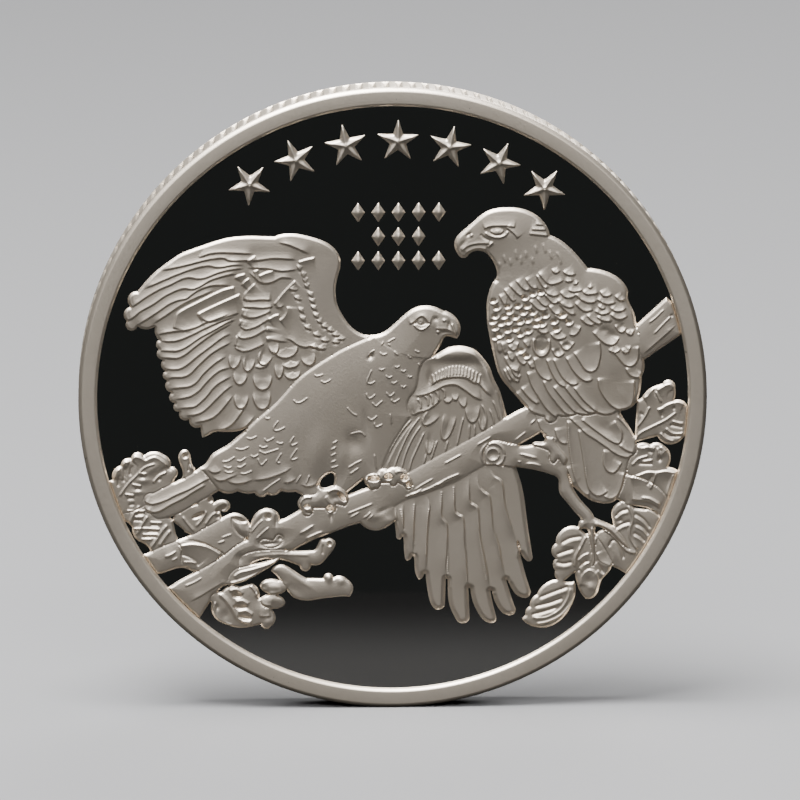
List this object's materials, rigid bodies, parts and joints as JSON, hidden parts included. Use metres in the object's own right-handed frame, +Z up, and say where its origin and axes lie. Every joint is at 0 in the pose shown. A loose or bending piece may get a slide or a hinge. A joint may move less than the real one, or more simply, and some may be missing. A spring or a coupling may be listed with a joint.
{
  "type": "challenge coin",
  "caption": "Struck silver-coloured coin with a reeded edge, raised rims, frosted birds-on-branches relief on a mirror field, and a laurel wreath round a star on the back.",
  "frame": {"origin": "lowest point of the edge, midway through the thickness, with the coin standing upright on its edge", "axes": "+Z up the design, +Y along the coin's axis from the front face to the back face, +X to the right of the front face"},
  "size_m": [0.04, 0.0032, 0.04],
  "materials": {
    "planchet_core": "hidden inside the plating",
    "mirror_field": "mirror polished, silver coloured",
    "satin_edge": "satin, silver coloured",
    "frosted_relief": "frosted, silver coloured"
  },
  "bodies": {
    "root": {"planchet": "planchet_core", "obverse_field": "mirror_field", "reverse_field": "mirror_field", "reeded_edge": "satin_edge", "obverse_rim": "satin_edge", "reverse_rim": "satin_edge", "left_eagle_head": "frosted_relief", "left_eagle_body": "frosted_relief", "left_eagle_raised_wing": "frosted_relief", "left_eagle_lowered_wing": "frosted_relief", "left_eagle_tail": "frosted_relief", "left_eagle_left_foot": "frosted_relief", "left_eagle_right_foot": "frosted_relief", "right_eagle_head": "frosted_relief", "right_eagle_body": "frosted_relief", "right_eagle_tail": "frosted_relief", "right_eagle_foot": "frosted_relief", "main_branch": "frosted_relief", "side_branch": "frosted_relief", "cut_log": "frosted_relief", "right_stub": "frosted_relief", "budded_twig": "frosted_relief", "broken_twig": "frosted_relief", "narrow_leaf": "frosted_relief", "folded_leaf": "frosted_relief", "upper_left_leaf": "frosted_relief", "lower_left_leaves": "frosted_relief", "left_buds": "frosted_relief", "bottom_left_leaves": "frosted_relief", "acorns": "frosted_relief", "lower_right_leaves": "frosted_relief", "rim_side_leaves": "frosted_relief", "upper_right_leaves": "frosted_relief", "star_arc": "frosted_relief", "lozenge_rows": "frosted_relief", "reverse_ribbon_tie": "frosted_relief", "reverse_left_stem": "frosted_relief", "reverse_right_stem": "frosted_relief", "reverse_left_spray": "frosted_relief", "reverse_right_spray": "frosted_relief", "reverse_star": "frosted_relief", "reverse_beads": "frosted_relief"}
  },
  "joints": []
}
